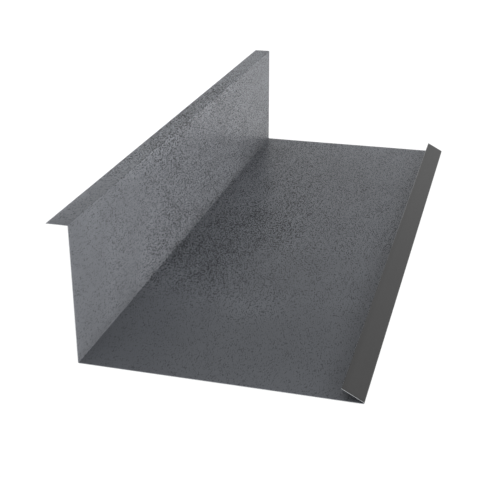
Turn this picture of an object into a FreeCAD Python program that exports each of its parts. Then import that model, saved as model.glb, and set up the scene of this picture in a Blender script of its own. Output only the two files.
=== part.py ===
import FreeCAD, Part
import math
import os

# An abutment flashing: one strip of coated steel sheet, bent along its length, that seals the joint
# between a pitched roof and a wall beside it. The base lies on the roof, under the edge of the
# covering. The web stands against the wall, and ends in a short flange that is turned into the wall.
# The base's other edge is folded back over it as an open lip, which keeps water from running off
# sideways. It is one piece, with the same thickness and the same bend radius all over.
# X runs across the base, away from the wall. Y runs along the strip, and Z is up.
# The origin is at the middle of the bounding box's underside. Sizes are in millimetres.

strip_length = 675.0
sheet_thickness = 0.5
inside_bend_radius = 0.5

# The section's widths and heights are measured over the outside of the sheet.
base_width = 250.0  # from the web's wall side to the outermost point of the fold
web_height = 129.0  # from the underside of the base to the top of the flange
flange_width = 19.5  # from the web's wall side to the flange's free edge
lip_width = 22.0  # from the outermost point of the fold to the lip's free edge, along the lip
lip_angle = 28.0  # between the base and the lip, in degrees

outside_bend_radius = inside_bend_radius + sheet_thickness
middle_bend_radius = inside_bend_radius + sheet_thickness / 2
web_wall_side = (flange_width - base_width) / 2  # the X that centres the section on the origin

# Each flat stretch of the section, from the flange's free edge to the lip's: its length between the
# bends, and how far the sheet turns after it, in degrees. A turn to the left is positive.
right_angle = 90.0
stretches = [
    (flange_width - inside_bend_radius, -right_angle),
    (web_height - 2 * outside_bend_radius, right_angle),
    (base_width - 2 * outside_bend_radius, 2 * right_angle - lip_angle),
    (lip_width - outside_bend_radius, 0.0),
]


def direction(angle):
    """The unit vector in the section's plane at this angle above X, in radians."""
    return FreeCAD.Vector(math.cos(angle), 0, math.sin(angle))


def left_of(angle):
    """The unit vector to the left of that direction: the side of the sheet with the finish coat."""
    return direction(angle + math.pi / 2)


def side_of_sheet(offset):
    """The edges of one side of the sheet's section, at this offset to the left of its middle line."""
    flange_middle = web_height - sheet_thickness / 2
    middle = FreeCAD.Vector(web_wall_side - flange_width, 0, flange_middle)
    heading = 0.0
    edges = []
    for flat_length, turn_degrees in stretches:
        flat_start = middle + left_of(heading) * offset
        middle = middle + direction(heading) * flat_length
        flat_end = middle + left_of(heading) * offset
        edges.append(Part.LineSegment(flat_start, flat_end).toShape())
        if turn_degrees:
            turn = math.radians(turn_degrees)
            to_centre = math.copysign(middle_bend_radius, turn)
            centre = middle + left_of(heading) * to_centre
            bend_points = [
                centre - left_of(heading + share * turn) * (to_centre - offset)
                for share in (0.0, 0.5, 1.0)
            ]
            edges.append(Part.Arc(*bend_points).toShape())
            heading += turn
            middle = centre - left_of(heading) * to_centre
    return edges


def sheet_section():
    """The section's face: the sheet's two sides, closed by the cut edges of the flange and the lip."""
    coat_side = side_of_sheet(sheet_thickness / 2)
    back_side = side_of_sheet(-sheet_thickness / 2)
    flange_cut = Part.LineSegment(coat_side[0].firstVertex().Point, back_side[0].firstVertex().Point)
    lip_cut = Part.LineSegment(coat_side[-1].lastVertex().Point, back_side[-1].lastVertex().Point)
    outline = coat_side + [lip_cut.toShape()] + back_side + [flange_cut.toShape()]
    return Part.Face(Part.Wire(Part.__sortEdges__(outline)))


def abutment_flashing():
    """The bent strip: its section, run from one cut end to the other."""
    section = sheet_section()
    section.translate(FreeCAD.Vector(0, -strip_length / 2, 0))
    return section.extrude(FreeCAD.Vector(0, strip_length, 0))


def main():
    os.makedirs("parts", exist_ok=True)
    abutment_flashing().exportStep("parts/abutment_flashing.step")


main()
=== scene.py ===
import math

import bpy
import numpy as np
from mathutils import Matrix, Vector


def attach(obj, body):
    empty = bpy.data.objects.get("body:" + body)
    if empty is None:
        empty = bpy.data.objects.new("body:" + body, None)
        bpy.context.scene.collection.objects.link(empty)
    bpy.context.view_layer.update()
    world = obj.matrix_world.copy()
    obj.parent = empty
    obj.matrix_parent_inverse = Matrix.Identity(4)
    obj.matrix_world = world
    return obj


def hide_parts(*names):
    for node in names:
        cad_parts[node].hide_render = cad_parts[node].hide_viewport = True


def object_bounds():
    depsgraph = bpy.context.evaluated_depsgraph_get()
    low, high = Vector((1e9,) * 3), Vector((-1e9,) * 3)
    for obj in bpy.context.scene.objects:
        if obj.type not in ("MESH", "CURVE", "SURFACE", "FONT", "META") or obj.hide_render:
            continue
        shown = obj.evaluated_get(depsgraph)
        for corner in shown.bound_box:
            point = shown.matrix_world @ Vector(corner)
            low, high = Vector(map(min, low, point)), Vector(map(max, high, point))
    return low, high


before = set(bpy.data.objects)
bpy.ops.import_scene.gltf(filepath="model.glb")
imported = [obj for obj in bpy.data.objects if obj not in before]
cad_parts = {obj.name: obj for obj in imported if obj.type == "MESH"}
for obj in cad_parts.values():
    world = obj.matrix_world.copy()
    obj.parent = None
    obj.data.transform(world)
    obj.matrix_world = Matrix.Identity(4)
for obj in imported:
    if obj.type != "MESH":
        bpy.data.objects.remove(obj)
cadLow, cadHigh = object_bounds()
mm = 0.001  # everything below is in metres
quarterTurn = math.pi / 2
faceCorners = 4  # every face of the sheet is a quad
coatSlot, reverseSlot, cutSlot = 0, 1, 2  # the sheet's material slots
noiseMiddle = 0.5  # the value that noise swings about

# The bent strip. Its length, its height and its reach to the flange's free edge come from the frame.
sheet = {
    "thickness": 0.5 * mm,
    "insideBend": 0.5 * mm,  # inside radius of every bend
    "baseWidth": 250.0 * mm,  # from the web's wall side to the outermost point of the fold
    "lipWidth": 22.0 * mm,  # from the fold's outermost point to the lip's free edge
    "lipAngle": math.radians(28.0),  # between the base and the lip
    "cutRounding": 0.07 * mm,  # how far the shears roll the coat over at a cut edge
    "cutRows": 4,  # mesh rows over that rounding
    "cell": 5.0 * mm,  # mesh cell on the flats
    "bendCell": 0.3 * mm,  # the narrow cell beside a bend, which keeps the bend's shading to itself
    "bendStep": math.radians(10.0),  # mesh step round a bend
    "waveHeight": 0.07 * mm,  # the soft unevenness that thin sheet keeps after rolling
    "waveLength": 140.0 * mm,
    "waveSpread": (0.7, 1.8),  # shortest and longest wave, as a share of that length
    "waveCount": 6,
    "waveFade": 30.0 * mm,  # a bend stiffens the sheet this far to each side
    "waveSeed": 7,
}


def flatStations(spec, length):
    # Distances along one flat stretch: 0, then even steps from bendCell to length - bendCell, then length.
    edge = spec["bendCell"]
    count = max(2, round((length - 2 * edge) / spec["cell"]))
    return np.concatenate(([0.0], np.linspace(edge, length - edge, count + 1), [length]))


def sectionLine(spec, low, high):
    # The section's middle line as a running integral. The heading is level on a flat and turns evenly
    # round a bend. Each step adds chord x (cos, sin) of its mean heading, and chord = arc x sin(t) / t for
    # t = half the step's turn.
    half = spec["thickness"] / 2
    outside = spec["insideBend"] + spec["thickness"]
    middleBend = spec["insideBend"] + half
    webWallSide = high.x - spec["baseWidth"]
    flats = [
        webWallSide - low.x - spec["insideBend"],  # flange
        (high.z - low.z) - 2 * outside,  # web
        spec["baseWidth"] - 2 * outside,
        spec["lipWidth"] - outside,
    ]
    turns = [-quarterTurn, quarterTurn, 2 * quarterTurn - spec["lipAngle"], 0.0]
    stations, headings, start, heading = [], [], 0.0, 0.0
    for flat, turn in zip(flats, turns):
        along = start + flatStations(spec, flat)
        stations.append(along)
        headings.append(np.full(along.shape, heading))
        start += flat
        if turn:
            steps = round(abs(turn) / spec["bendStep"])
            share = np.arange(1, steps) / steps
            arc = abs(turn) * middleBend
            stations.append(start + arc * share)
            headings.append(heading + turn * share)
            start += arc
            heading += turn
    s = np.concatenate(stations)
    a = np.concatenate(headings)
    step, mean, change = np.diff(s), (a[1:] + a[:-1]) / 2, np.diff(a)
    chord = step * np.sinc(change / (2 * math.pi))
    x = low.x + np.concatenate(([0.0], np.cumsum(chord * np.cos(mean))))
    z = high.z - half + np.concatenate(([0.0], np.cumsum(chord * np.sin(mean))))
    return s, x, z, a


def rowStations(spec, length):
    # Distances along the strip: even rows, and at each end close ones at rounding x (1 - cos angle).
    angles = np.linspace(0, quarterTurn, spec["cutRows"])
    close = spec["cutRounding"] * (1 - np.cos(angles))
    inner = np.linspace(close[-1], length - close[-1], round(length / spec["cell"]) + 1)
    return np.concatenate((close[:-1], inner, length - close[-2::-1]))


def softWaves(spec, s, y, toBend):
    # A sum of sines in random directions, height x sum(sin(rate x distance + phase)) / sqrt(count), faded out
    # beside every bend by the smooth step 3f^2 - 2f^3 of f = distance to the bend / waveFade.
    rng = np.random.default_rng(spec["waveSeed"])
    total = np.zeros((len(s), len(y)))
    for _ in range(spec["waveCount"]):
        turn, phase = rng.uniform(0, math.pi), rng.uniform(0, 2 * math.pi)
        rate = 2 * math.pi / (spec["waveLength"] * rng.uniform(*spec["waveSpread"]))
        total += np.sin(rate * (s[:, None] * math.cos(turn) + y[None, :] * math.sin(turn)) + phase)
    fade = np.clip(toBend / spec["waveFade"], 0, 1)
    fade = fade * fade * (3 - 2 * fade)
    return spec["waveHeight"] * total / math.sqrt(spec["waveCount"]) * fade[:, None]


def bentSheet(spec, low, high):
    # Two parameters: s across the developed sheet, y along it. Each side is the middle line moved along its
    # normal by waves +- half, where half falls off as a quarter circle at the cut edges. One ring of faces
    # joins the two sides round the rim.
    s, x, z, heading = sectionLine(spec, low, high)
    y = low.y + rowStations(spec, high.y - low.y)
    normal = np.stack((-np.sin(heading), np.cos(heading)), 1)
    bends = s[1:][np.abs(np.diff(heading)) > 0]
    toBend = np.abs(s[:, None] - bends[None, :]).min(1)
    toCut = np.minimum(
        np.minimum(s, s[-1] - s)[:, None], np.minimum(y - low.y, high.y - y)[None, :]
    )
    rounding = spec["cutRounding"]
    lost = rounding - np.minimum(toCut, rounding)
    half = spec["thickness"] / 2 - rounding + np.sqrt(np.maximum(rounding**2 - lost**2, 0))
    waves = softWaves(spec, s, y, toBend)
    sides = []
    for offset in (waves + half, waves - half):
        side = np.empty((len(s), len(y), 3))
        side[:, :, 0] = x[:, None] + normal[:, :1] * offset
        side[:, :, 1] = y[None, :]
        side[:, :, 2] = z[:, None] + normal[:, 1:] * offset
        sides.append(side.reshape(-1, 3))
    places = np.concatenate(sides)
    places[:, 2] = np.maximum(places[:, 2], low.z)  # the waves don't reach below the underside

    grid = np.arange(len(s) * len(y)).reshape(len(s), len(y))
    back = grid.size
    quads = np.stack((grid[:-1, :-1], grid[:-1, 1:], grid[1:, 1:], grid[1:, :-1]), 2)
    quads = quads.reshape(-1, faceCorners)
    rim = np.concatenate((grid[:, 0], grid[-1, 1:], grid[-2::-1, -1], grid[0, -2::-1]))
    rimQuads = np.stack((rim[:-1], rim[1:], rim[1:] + back, rim[:-1] + back), 1)
    developed = np.stack(np.broadcast_arrays(s[:, None], y[None, :] - low.y), 2).reshape(-1, 2)
    edgeFaces = [len(s) - 1, len(y) - 1, len(s) - 1, len(y) - 1]
    return {
        "places": places,
        "faces": np.concatenate((quads, quads[:, ::-1] + back, rimQuads)),
        "slots": np.repeat([coatSlot, reverseSlot, cutSlot], [len(quads), len(quads), len(rimQuads)]),
        "developed": np.concatenate((developed, developed)),
        "toCut": np.tile(toCut.reshape(-1), 2),
        "rimEdge": np.repeat([0, 1, 2, 3], edgeFaces),  # near end, lip edge, far end, flange edge
    }


# The layout for baking: upright strips in the unit square, each with its left side and its width.
bakeLayout = {
    "bottom": 0.01,
    "height": 0.98,
    "sides": {coatSlot: (0.005, 0.76), reverseSlot: (0.775, 0.17)},
    "rimStart": 0.955,
    "rimStep": 0.011,  # from one cut edge's strip to the next
    "rimWidth": 0.005,
}


def bakeMap(spec, made):
    # u = strip's left side + its width x share across, v = bottom + height x distance / length. The share is
    # s / width of the sheet on the two sides, and 0 or 1 at a cut edge's two arrises. Along a cut edge at
    # an end of the strip, the distance is s.
    corners = made["faces"].reshape(-1)
    s, y = made["developed"][corners].T
    slots = np.repeat(made["slots"], faceCorners)
    length, width = y.max(), s.max()
    u, v = np.empty(len(corners)), spec["bottom"] + spec["height"] * y / length
    for slot, (left, across) in spec["sides"].items():
        u[slots == slot] = left + across * s[slots == slot] / width
    rim = slots == cutSlot
    edge = np.repeat(made["rimEdge"], faceCorners)
    onReverse = corners[rim] >= len(made["places"]) // 2  # the second half of the points
    acrossSheet = edge % 2 == 0  # at the two ends the cut edge runs across the sheet
    u[rim] = spec["rimStart"] + spec["rimStep"] * edge + spec["rimWidth"] * onReverse
    v[rim] = spec["bottom"] + spec["height"] * np.where(acrossSheet, s[rim], y[rim]) / length
    return np.stack((u, v), 1)


def meshPiece(name, made, materials):
    mesh = bpy.data.meshes.new(name)
    mesh.from_pydata(made["places"].tolist(), [], made["faces"].tolist())
    mesh.polygons.foreach_set("material_index", made["slots"].astype(np.int32))
    mesh.polygons.foreach_set("use_smooth", made["slots"] != cutSlot)
    maps = {"developed": made["developed"][made["faces"].reshape(-1)], "OFBake": bakeMap(bakeLayout, made)}
    for mapName, places in maps.items():
        mesh.uv_layers.new(name=mapName).data.foreach_set("uv", places.astype(np.float32).reshape(-1))
    toCut = mesh.attributes.new("toCut", "FLOAT", "POINT")
    toCut.data.foreach_set("value", made["toCut"].astype(np.float32))
    for material in materials:
        mesh.materials.append(material)
    mesh.validate()
    mesh.update()
    piece = bpy.data.objects.new(name, mesh)
    bpy.context.scene.collection.objects.link(piece)
    return piece


def addNode(tree, kind, inputs=None, **settings):
    # One shader node: settings are its properties, inputs its sockets, each a value or another node's output.
    made = tree.nodes.new(kind)
    for key, value in settings.items():
        setattr(made, key, value)
    for key, value in (inputs or {}).items():
        if isinstance(value, bpy.types.NodeSocket):
            tree.links.new(value, made.inputs[key])
        else:
            made.inputs[key].default_value = value
    return made


def calc(tree, operation, a, b=0.0, c=0.0):
    return addNode(tree, "ShaderNodeMath", {0: a, 1: b, 2: c}, operation=operation).outputs[0]


def vectorCalc(tree, operation, a, b):
    # b is a vector, or the factor of SCALE.
    second = "Scale" if operation == "SCALE" else 1
    return addNode(tree, "ShaderNodeVectorMath", {0: a, second: b}, operation=operation).outputs[0]


def ramp(tree, value, fromLow, fromHigh, toLow=0.0, toHigh=1.0):
    # A smooth step from one value to another.
    inputs = {"Value": value, "From Min": fromLow, "From Max": fromHigh, "To Min": toLow, "To Max": toHigh}
    return addNode(tree, "ShaderNodeMapRange", inputs, interpolation_type="SMOOTHSTEP").outputs["Result"]


def between(tree, share, low, high):
    # low + share x (high - low).
    return calc(tree, "MULTIPLY_ADD", share, high - low, low)


def noise(tree, vector, size, detail=2.0, roughness=0.5, output="Fac"):
    # Cloudy noise from 0 to 1, whose lumps are about this size, in metres.
    linked = isinstance(size, bpy.types.NodeSocket)
    inputs = {
        "Vector": vector,
        "Scale": calc(tree, "DIVIDE", 1.0, size) if linked else 1.0 / size,
        "Detail": detail,
        "Roughness": roughness,
    }
    return addNode(tree, "ShaderNodeTexNoise", inputs, noise_dimensions="2D").outputs[output]


def swing(tree, value, reach):
    # (value - 0.5) x reach: noise as a push to both sides.
    return calc(tree, "MULTIPLY", calc(tree, "SUBTRACT", value, noiseMiddle), reach)


def placeOnSheet(tree):
    return addNode(tree, "ShaderNodeUVMap", uv_map="developed").outputs[0]


def bumpNormal(tree, height, depth):
    inputs = {"Height": height, "Distance": depth, "Strength": 1.0}
    return addNode(tree, "ShaderNodeBump", inputs).outputs[0]


def newGroup(name, inputs, output):
    # A node group with one output. An input whose value is None is a vector.
    tree = bpy.data.node_groups.new(name, "ShaderNodeTree")
    for key, value in inputs.items():
        kind = "NodeSocketVector" if value is None else "NodeSocketFloat"
        socket = tree.interface.new_socket(name=key, in_out="INPUT", socket_type=kind)
        if value is not None:
            socket.default_value = value
    tree.interface.new_socket(name=output, in_out="OUTPUT", socket_type="NodeSocketFloat")
    given = addNode(tree, "NodeGroupInput").outputs
    return tree, given, addNode(tree, "NodeGroupOutput").inputs[output]


def makeToneDrift():
    # How a finish's tone drifts over the sheet: 1 + (cloudy noise - 0.5) x spread x strength.
    spread = 4.0  # the noise mostly stays within a quarter of its middle
    inputs = {"Vector": None, "Patch Size": 100.0 * mm, "Strength": 0.05}
    tree, given, out = newGroup("toneDrift", inputs, "Tone")
    clouds = noise(tree, given["Vector"], given["Patch Size"], detail=3.0, roughness=0.55)
    reach = calc(tree, "MULTIPLY", given["Strength"], spread)
    tree.links.new(calc(tree, "ADD", swing(tree, clouds, reach), 1.0), out)
    return tree


def makeFineGrain():
    # The grain of a smooth surface, as a height from 0 to 1.
    tree, given, out = newGroup("fineGrain", {"Vector": None, "Grain Size": 1.0 * mm}, "Height")
    tree.links.new(noise(tree, given["Vector"], given["Grain Size"], roughness=0.6), out)
    return tree


def makeCutWear():
    # Where the coat is worn at a cut edge: 1 - distance / (reach x noise / 0.5), kept between 0 and 1.
    inputs = {"Vector": None, "To Cut": 0.0, "Reach": 1.0 * mm, "Lump Size": 2.5 * mm}
    tree, given, out = newGroup("cutWear", inputs, "Mask")
    lumps = noise(tree, given["Vector"], given["Lump Size"], detail=3.0, roughness=0.6)
    reach = calc(tree, "MULTIPLY", given["Reach"], calc(tree, "DIVIDE", lumps, noiseMiddle))
    near = calc(tree, "SUBTRACT", 1.0, calc(tree, "DIVIDE", given["To Cut"], reach))
    tree.links.new(addNode(tree, "ShaderNodeClamp", {"Value": near}).outputs[0], out)
    return tree


effects = {"tone": makeToneDrift(), "grain": makeFineGrain(), "wear": makeCutWear()}


def placeEffect(tree, name, inputs):
    return addNode(tree, "ShaderNodeGroup", inputs, node_tree=effects[name]).outputs[0]


def driftTone(tree, spec, at):
    inputs = {"Vector": at, "Patch Size": spec["driftPatch"], "Strength": spec["drift"]}
    return placeEffect(tree, "tone", inputs)


def streakTone(tree, spec, at, strength):
    # Faint streaks that the rollers draw along the strip: the tone's drift on a map squeezed along it.
    drawn = vectorCalc(tree, "MULTIPLY", at, (1.0, 1.0 / spec["streakLength"], 1.0))
    inputs = {"Vector": drawn, "Patch Size": spec["streak"], "Strength": strength}
    return placeEffect(tree, "tone", inputs)


def fineGrain(tree, spec, at):
    return placeEffect(tree, "grain", {"Vector": at, "Grain Size": spec["grain"]})


def wornRim(tree, spec, at):
    # 1 at a cut edge, fading to 0 at the rim's ragged reach.
    toCut = addNode(tree, "ShaderNodeAttribute", attribute_name="toCut").outputs["Fac"]
    return placeEffect(tree, "wear", {"Vector": at, "To Cut": toCut, "Reach": spec["worn"]})


def newMaterial(name, settings):
    material = bpy.data.materials.new(name)
    material.use_nodes = True
    tree = material.node_tree
    tree.nodes.clear()
    shader = addNode(tree, "ShaderNodeBsdfPrincipled", settings)
    addNode(tree, "ShaderNodeOutputMaterial", {"Surface": shader.outputs[0]})
    return material, tree, shader.inputs


# The finish coat: matt graphite paint, finely pitted. The pits are drawn out along the strip by the rollers.
# Places are on the developed sheet: across from the flange's free edge, and along from the near cut end.
finishCoat = {
    "colour": (0.1005, 0.1055, 0.1154),
    "roughness": 0.3,
    "gloss": 0.076,
    "pits": {
        "width": 1.0 * mm,
        "length": 3.6,  # times their width
        "depth": 0.12 * mm,
        "rough": 0.15,  # roughness added in a pit
        "dark": (0.38, 0.8),  # how much darker a pit is than the paint round it, calm and bold
        "level": (0.6, 0.505),  # the level past which there is a pit, calm and bold
        "soft": 0.09,  # and how far past it the pit is full
        "sway": 90.0 * mm,  # their direction wanders over this distance
        "swayBy": 4.0 * mm,  # by up to this much to each side
        "shake": 3.0,  # pit widths between one lean and the next
        "chain": 9.0 * mm,  # they gather along fine wandering lines this far apart
        "chainWidth": 0.05,  # how far the noise may be from its middle on such a line
        "chainPull": 0.045,
        "lumps": ((3.0 * mm, 0.35), (16.0 * mm, 0.13)),  # and in lumps: the size of each kind and its pull
    },
    "bold": {
        "rise": (-20.0 * mm, 200.0 * mm),  # the pits grow bold from the near end over this stretch
        "riseLean": 0.4,  # which starts later across the sheet, by this share of the distance
        "fall": (450.0 * mm, 640.0 * mm),  # they grow calmer again towards the far end
        "fallAcross": (40.0 * mm, 130.0 * mm),  # but only on the flange and high on the web
        "fallBy": 0.5,
        "toFold": (215.0 * mm, 290.0 * mm),  # and a little towards the fold
        "toFoldBy": 0.3,
        "flange": (15.0 * mm, 40.0 * mm),  # they are bolder on the flange and just below it
        "flangeBy": 0.3,
        "patch": 110.0 * mm,  # the borders of all these stretches wander over this distance
        "patchShift": 200.0 * mm,
    },
    "thick": {
        "middle": (205.0 * mm, 290.0 * mm, 0.0),  # of the thickest patch of pits
        "reach": (60.0 * mm, 130.0 * mm, 1.0),
        "edge": (0.3, 1.3),  # where in that reach the patch starts to fade, and where it ends
        "ragged": 27.0 * mm,
        "pull": 0.045,
        "dark": 0.05,
    },
    "lift": 0.42,  # how much lighter the paint is between bold pits
    "flangeLift": 0.15,  # and how much more so on the flange
    "paintedShade": {  # painted shade: places where the paint is darkened where shade falls: across and along, from where to where it deepens
        # painted shade on the base beside the fold, where the lip hides light from the right
        "fold": {"across": (335.0 * mm, 380.0 * mm), "along": (0.0, 180.0 * mm), "by": 0.09},
        # painted shade along the top bend, which dims the light line the bend catches
        "topBendShade": {"across": (17.0 * mm, 19.3 * mm), "ends": (19.9 * mm, 22.2 * mm), "by": 0.07},
        # painted shade low on the web beside the base at the far end: the corner's shadow
        "webFootShade": {
            "across": (85.0 * mm, 146.0 * mm),
            "ends": (146.0 * mm, 149.0 * mm),
            "along": (430.0 * mm, 640.0 * mm),
            "by": 0.3,
        },
    },
    "drift": 0.03,
    "driftPatch": 90.0 * mm,
    "streak": 1.6 * mm,  # width of a streak
    "streakLength": 25.0,  # times its width
    "streakBy": 0.15,
    "worn": 0.5 * mm,  # reach of the lighter rim at a cut edge
    "wornLift": 0.6,
}


def pitMap(tree, pits, at):
    # The developed map, swayed across by slow noise, squeezed along the strip, then shaken by small noise:
    # drawn = (across + sway, along / length), shaken = drawn + (small noise - 0.5) x pit width.
    width = pits["width"]
    sway = swing(tree, noise(tree, at, pits["sway"], detail=0.0), 2.0 * pits["swayBy"])
    aside = addNode(tree, "ShaderNodeCombineXYZ", {"X": sway}).outputs[0]
    squeeze = (1.0, 1.0 / pits["length"], 1.0)
    drawn = vectorCalc(tree, "MULTIPLY", vectorCalc(tree, "ADD", at, aside), squeeze)
    small = noise(tree, drawn, width * pits["shake"], detail=1.0, output="Color")
    lean = vectorCalc(tree, "SUBTRACT", small, (noiseMiddle, noiseMiddle, noiseMiddle))
    return drawn, vectorCalc(tree, "ADD", drawn, vectorCalc(tree, "SCALE", lean, width))


def pitBoldness(tree, bold, at, place):
    # How bold the pits are, from 0 to 1: rise along the strip x fall towards the far end x fall towards the
    # fold. Patchy noise shifts the places where each one starts. The flange's share is added on top.
    patches = swing(tree, noise(tree, at, bold["patch"], roughness=0.55), bold["patchShift"])
    lean = calc(tree, "MULTIPLY_ADD", place["X"], -bold["riseLean"], place["Y"])
    rise = ramp(tree, calc(tree, "ADD", lean, patches), *bold["rise"])
    high = ramp(tree, place["X"], *bold["fallAcross"], 1.0, 0.0)
    far = ramp(tree, calc(tree, "ADD", place["Y"], patches), *bold["fall"])
    fall = calc(tree, "MULTIPLY_ADD", calc(tree, "MULTIPLY", high, far), -bold["fallBy"], 1.0)
    across = calc(tree, "SUBTRACT", place["X"], patches)
    toFold = ramp(tree, across, *bold["toFold"], 1.0, 1.0 - bold["toFoldBy"])
    share = calc(tree, "MULTIPLY", rise, calc(tree, "MULTIPLY", fall, toFold))
    flange = calc(tree, "MULTIPLY", share, ramp(tree, place["X"], *bold["flange"], 1.0, 0.0))
    return calc(tree, "MULTIPLY_ADD", flange, bold["flangeBy"], share), flange


def thickPatch(tree, patch, at):
    # 1 in the middle of the thickest patch of pits, 0 outside its ragged oval.
    away = vectorCalc(tree, "SUBTRACT", at, patch["middle"])
    oval = vectorCalc(tree, "MULTIPLY", away, tuple(1.0 / reach for reach in patch["reach"]))
    far = addNode(tree, "ShaderNodeVectorMath", {0: oval}, operation="LENGTH").outputs["Value"]
    ragged = swing(tree, noise(tree, at, patch["ragged"]), 1.0)
    return ramp(tree, calc(tree, "ADD", far, ragged), *patch["edge"], 1.0, 0.0)


def paintedShadeDepth(tree, places, place):
    # How much painted shade darkens the paint: the sum over the places of by x rise across x fall across x
    # rise along.
    total = 0.0
    for dark in places.values():
        here = ramp(tree, place["X"], *dark["across"])
        if "ends" in dark:
            here = calc(tree, "MULTIPLY", here, ramp(tree, place["X"], *dark["ends"], 1.0, 0.0))
        if "along" in dark:
            here = calc(tree, "MULTIPLY", here, ramp(tree, place["Y"], *dark["along"]))
        total = calc(tree, "MULTIPLY_ADD", here, dark["by"], total)
    return total


def pitMask(tree, pits, at, bold, thickPull):
    # 1 in a pit: where noise + chains + lumps + the thick patch pass a level that falls with boldness.
    drawn, shaken = pitMap(tree, pits, at)
    line = calc(tree, "ABSOLUTE", swing(tree, noise(tree, drawn, pits["chain"]), 1.0))
    chains = ramp(tree, line, 0.0, pits["chainWidth"], pits["chainPull"], 0.0)
    level = calc(tree, "ADD", noise(tree, shaken, pits["width"], detail=1.0), chains)
    for size, pull in pits["lumps"]:
        level = calc(tree, "ADD", level, swing(tree, noise(tree, drawn, size), pull))
    level = calc(tree, "ADD", level, thickPull)
    past = calc(tree, "SUBTRACT", level, between(tree, bold, *pits["level"]))
    return ramp(tree, past, 0.0, pits["soft"])


def makeFinishCoat(spec):
    # Colour = paint x drift x streaks x (1 + lifts - thick - painted shade) x (1 - pit's darkness), and
    # lighter at a worn rim.
    material, tree, sockets = newMaterial("finishCoat", {"Specular IOR Level": spec["gloss"]})
    at = placeOnSheet(tree)
    place = addNode(tree, "ShaderNodeSeparateXYZ", {0: at}).outputs
    bold, flange = pitBoldness(tree, spec["bold"], at, place)
    thick = thickPatch(tree, spec["thick"], at)
    thickPull = calc(tree, "MULTIPLY", thick, spec["thick"]["pull"])
    pits = pitMask(tree, spec["pits"], at, bold, thickPull)
    tone = calc(tree, "MULTIPLY_ADD", bold, spec["lift"], 1.0)
    tone = calc(tree, "MULTIPLY_ADD", flange, spec["flangeLift"], tone)
    tone = calc(tree, "MULTIPLY_ADD", thick, -spec["thick"]["dark"], tone)
    # painted shade: darker beside the fold, along the top bend and low on the web at the far end
    tone = calc(tree, "SUBTRACT", tone, paintedShadeDepth(tree, spec["paintedShade"], place))
    tone = calc(tree, "MULTIPLY", tone, driftTone(tree, spec, at))
    streakBy = calc(tree, "MULTIPLY", bold, spec["streakBy"])
    tone = calc(tree, "MULTIPLY", tone, streakTone(tree, spec, at, streakBy))
    lost = calc(tree, "MULTIPLY", pits, between(tree, bold, *spec["pits"]["dark"]))
    tone = calc(tree, "MULTIPLY", tone, calc(tree, "SUBTRACT", 1.0, lost))
    tone = calc(tree, "MULTIPLY_ADD", wornRim(tree, spec, at), spec["wornLift"], tone)
    tree.links.new(vectorCalc(tree, "SCALE", spec["colour"], tone), sockets["Base Color"])
    rough = calc(tree, "MULTIPLY_ADD", pits, spec["pits"]["rough"], spec["roughness"])
    tree.links.new(rough, sockets["Roughness"])
    height = calc(tree, "SUBTRACT", 1.0, pits)
    tree.links.new(bumpNormal(tree, height, spec["pits"]["depth"]), sockets["Normal"])
    return material


# The reverse: one thin smooth coat of neutral grey, with the faint grain and streaks of the rolling.
reverseCoat = {
    "colour": (0.0325, 0.0325, 0.0325),
    "roughness": (0.32, 0.4),  # in the grain's hollows and on its tops
    "gloss": 0.078,
    "grain": 0.5 * mm,
    "grainHeight": 0.004 * mm,
    "drift": 0.02,
    "driftPatch": 120.0 * mm,
    "streak": 2.5 * mm,  # width of a streak
    "streakLength": 60.0,  # times its width
    "streakBy": 0.025,
    "worn": 0.6 * mm,  # reach of the lighter rim at a cut edge: worn coat, and a painted highlight of the lit edge
    # the rim's lift: worn coat, and a painted highlight along the lip's free edge
    "wornLift": 4.5,
    "litRimAlong": (150.0 * mm, 550.0 * mm),  # the rim's painted highlight shows more and more over this stretch
}


def makeReverseCoat(spec):
    # Colour = paint x (drift x streaks + worn rim x its lift), where the rim is worn coat and a painted
    # highlight of the lit edge, and grows along the strip.
    material, tree, sockets = newMaterial("reverseCoat", {"Specular IOR Level": spec["gloss"]})
    at = placeOnSheet(tree)
    along = addNode(tree, "ShaderNodeSeparateXYZ", {0: at}).outputs["Y"]
    # the worn rim with its painted highlight, growing along the strip
    worn = calc(tree, "MULTIPLY", wornRim(tree, spec, at), ramp(tree, along, *spec["litRimAlong"]))
    tone = calc(tree, "MULTIPLY", driftTone(tree, spec, at), streakTone(tree, spec, at, spec["streakBy"]))
    tone = calc(tree, "MULTIPLY_ADD", worn, spec["wornLift"], tone)
    tree.links.new(vectorCalc(tree, "SCALE", spec["colour"], tone), sockets["Base Color"])
    grain = fineGrain(tree, spec, at)
    tree.links.new(between(tree, grain, *spec["roughness"]), sockets["Roughness"])
    tree.links.new(bumpNormal(tree, grain, spec["grainHeight"]), sockets["Normal"])
    return material


# The cut edges: bare galvanised steel, sheared, with the zinc smeared over it.
cutMetal = {
    "colour": (0.38, 0.39, 0.4),
    "metallic": 0.7,
    "roughness": (0.35, 0.55),
    "grain": 0.4 * mm,
    "drift": 0.03,
    "driftPatch": 12.0 * mm,
}


def makeCutMetal(spec):
    # Colour = metal x drift, and its grain makes it rougher here and there.
    material, tree, sockets = newMaterial("cutMetal", {"Metallic": spec["metallic"]})
    at = placeOnSheet(tree)
    tone = driftTone(tree, spec, at)
    tree.links.new(vectorCalc(tree, "SCALE", spec["colour"], tone), sockets["Base Color"])
    grain = fineGrain(tree, spec, at)
    tree.links.new(between(tree, grain, *spec["roughness"]), sockets["Roughness"])
    return material


made = bentSheet(sheet, cadLow, cadHigh)
coats = [makeFinishCoat(finishCoat), makeReverseCoat(reverseCoat), makeCutMetal(cutMetal)]
flashing = meshPiece("bent_flashing", made, coats)
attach(flashing, "root")
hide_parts("abutment_flashing")
print(f"flashing: {len(made['faces'])} faces, {len(made['places'])} points")

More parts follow.
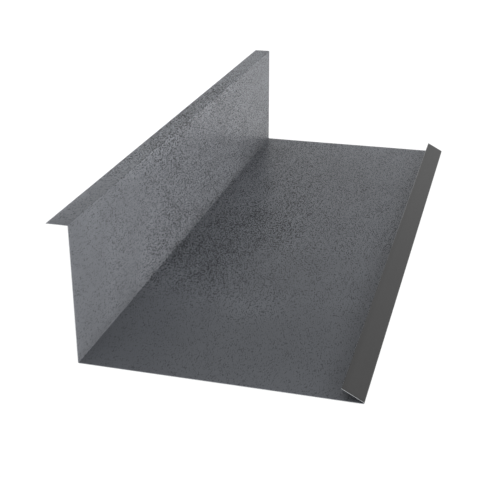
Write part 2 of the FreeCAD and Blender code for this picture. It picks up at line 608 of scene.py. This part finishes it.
# A plain pale studio: a white floor, a white surround and soft lamps, faintly cool above and warm below.
cool = (0.98, 1.0, 1.04)
warm = (1.022, 1.0, 0.975)
studio = {
    "floorSize": 12.0,
    "floorDrop": 0.2 * mm,
    "floorColour": (0.8, 0.8, 0.8, 1.0),
    "floorWhite": 0.85,  # how much of the floor is seen as plain white
    "floorStrength": 1.115,  # of that white, which makes up for the rest
    "surround": 0.45,  # strength of the surround's light
    "lamps": {
        "left": {"place": (-1.6, 0.6, 0.66), "size": (1.6, 0.9), "power": 26.0, "tint": cool},
        "above": {"place": (0.0, 0.0, 2.0), "size": (1.0, 0.7), "power": 8.0, "tint": cool},
        "right": {"place": (1.6, 0.0, 0.95), "size": (1.0, 0.7), "power": 6.8, "tint": cool},
        "front": {"place": (0.0, -1.9, 0.4), "size": (2.4, 0.7), "power": 8.5, "tint": cool},
        "rightLow": {"place": (1.7, -0.2, 0.1), "size": (1.2, 0.18), "power": 22.0, "tint": warm},
        "frontLow": {"place": (1.3, -1.3, 0.1), "size": (1.2, 0.18), "power": 22.0, "tint": warm},
    },
    "aim": (0.0, 0.0, 0.05),
}
white = (1.0, 1.0, 1.0, 1.0)


def seenDirectly(tree):
    # 1 for rays that show the background: the camera's own, and those by way of a reflection or glass.
    path = addNode(tree, "ShaderNodeLightPath").outputs
    both = calc(tree, "MAXIMUM", path["Is Camera Ray"], path["Is Glossy Ray"])
    return calc(tree, "MAXIMUM", both, path["Is Transmission Ray"])


def makeFloor(spec):
    # One square. Its material is matt paint, mixed with plain white where it is seen as the background.
    half = spec["floorSize"] / 2
    level = cadLow.z - spec["floorDrop"]
    corners = [(-half, -half, level), (half, -half, level), (half, half, level), (-half, half, level)]
    mesh = bpy.data.meshes.new("floor")
    mesh.from_pydata(corners, [], [(0, 1, 2, 3)])
    material = bpy.data.materials.new("paleFloor")
    material.use_nodes = True
    tree = material.node_tree
    tree.nodes.clear()
    matt = addNode(tree, "ShaderNodeBsdfDiffuse", {"Color": spec["floorColour"]})
    plain = addNode(tree, "ShaderNodeEmission", {"Color": white, "Strength": spec["floorStrength"]})
    share = calc(tree, "MULTIPLY", seenDirectly(tree), spec["floorWhite"])
    mixed = addNode(tree, "ShaderNodeMixShader", {0: share, 1: matt.outputs[0], 2: plain.outputs[0]})
    addNode(tree, "ShaderNodeOutputMaterial", {"Surface": mixed.outputs[0]})
    mesh.materials.append(material)
    floor = bpy.data.objects.new("floor", mesh)
    bpy.context.scene.collection.objects.link(floor)


def makeSurround(spec):
    world = bpy.data.worlds.new("surround")
    bpy.context.scene.world = world
    world.use_nodes = True
    tree = world.node_tree
    tree.nodes.clear()
    strength = ramp(tree, seenDirectly(tree), 0.0, 1.0, spec["surround"], 1.0)
    light = addNode(tree, "ShaderNodeBackground", {"Color": white, "Strength": strength})
    addNode(tree, "ShaderNodeOutputWorld", {"Surface": light.outputs[0]})


def makeLamp(name, spec, aim):
    data = bpy.data.lights.new(name, "AREA")
    data.shape = "RECTANGLE"
    data.size, data.size_y = spec["size"]
    data.energy = spec["power"]
    data.color = spec["tint"]
    lamp = bpy.data.objects.new(name, data)
    lamp.location = spec["place"]
    toAim = Vector(aim) - Vector(spec["place"])
    lamp.rotation_euler = toAim.to_track_quat("-Z", "Y").to_euler()
    bpy.context.scene.collection.objects.link(lamp)


makeFloor(studio)
makeSurround(studio)
for lampName, lampSpec in studio["lamps"].items():
    makeLamp(lampName, lampSpec, studio["aim"])
print("studio: floor, surround and", len(studio["lamps"]), "lamps")

# The camera of the photograph, from its view of the strip's ten outer corners.
photoView = {
    "place": (0.22678, -1.03043, 0.43895),
    "ahead": (-0.25085, 0.8856, -0.39089),
    "right": (0.96266, 0.27067, -0.00453),
    "lens": 75.617,  # mm
    "sensor": 36.0,  # mm
    "clip": (0.02, 50.0),
}


def makeCamera(spec):
    # The camera's axes are right, up and back, with up = right x ahead.
    data = bpy.data.cameras.new("photoView")
    data.lens = spec["lens"]
    data.sensor_width = spec["sensor"]
    data.clip_start, data.clip_end = spec["clip"]
    ahead = Vector(spec["ahead"]).normalized()
    right = (Vector(spec["right"]) - Vector(spec["right"]).dot(ahead) * ahead).normalized()
    turn = Matrix((right, right.cross(ahead), -ahead)).transposed().to_4x4()
    camera = bpy.data.objects.new("photoView", data)
    camera.matrix_world = Matrix.Translation(spec["place"]) @ turn
    bpy.context.scene.collection.objects.link(camera)
    bpy.context.scene.camera = camera


makeCamera(photoView)
bpy.context.scene.view_settings.view_transform = "Standard"
print("camera: as in the photograph")
